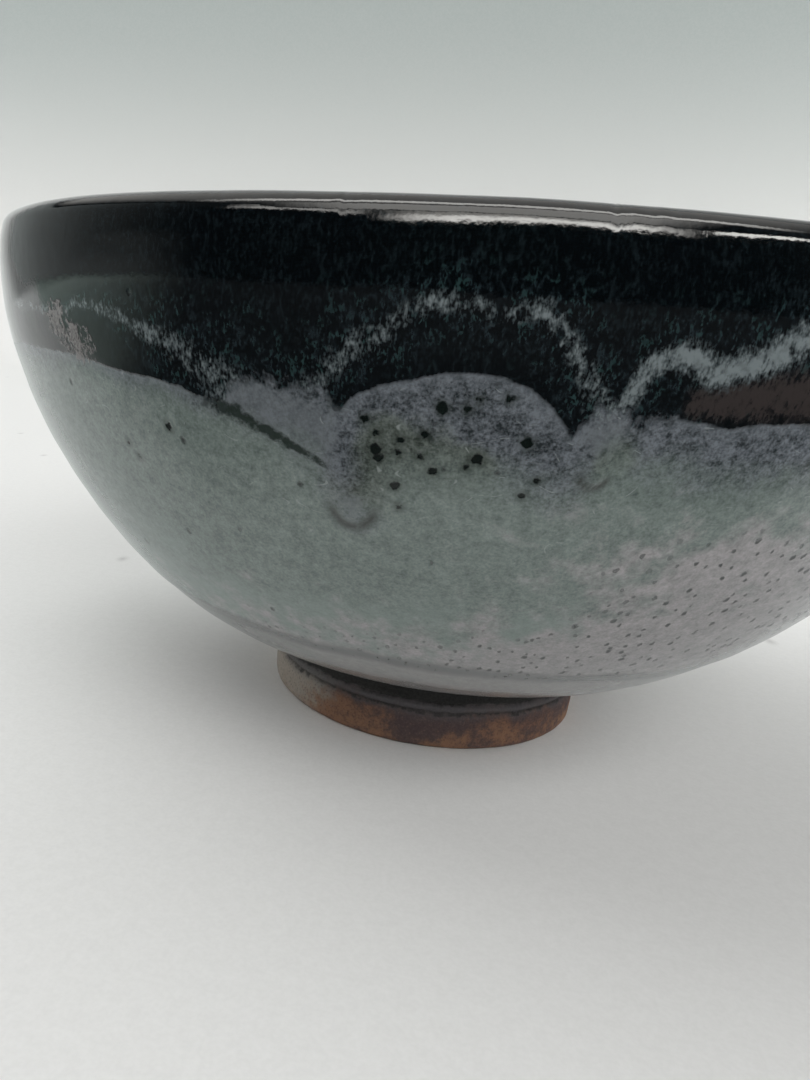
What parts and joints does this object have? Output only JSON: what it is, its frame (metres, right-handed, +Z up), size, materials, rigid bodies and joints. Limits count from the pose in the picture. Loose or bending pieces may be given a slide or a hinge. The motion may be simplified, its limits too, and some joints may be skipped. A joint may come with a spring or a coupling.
{
  "type": "matcha bowl",
  "caption": "Round tea bowl on a narrow foot ring, dark glaze poured over a pale glaze, for whisking and drinking powdered tea.",
  "frame": {"origin": "centre of the resting face of the foot ring, on the surface the bowl stands on", "axes": "+Z up along the bowl's axis, out of its mouth; -Y is the front, where the glaze has its dome and its longest run"},
  "size_m": [0.129, 0.129, 0.0647],
  "materials": {
    "clay": "matte",
    "foot_clay": "matte",
    "pale_glaze": "gloss",
    "overlap_glaze": "gloss",
    "dark_glaze": "gloss",
    "liner_glaze": "gloss"
  },
  "bodies": {
    "root": {"clay_body": "clay", "foot_ring": "foot_clay", "pale_glaze": "pale_glaze", "overlap_glaze": "overlap_glaze", "dark_glaze": "dark_glaze", "liner_glaze": "liner_glaze"}
  },
  "joints": []
}
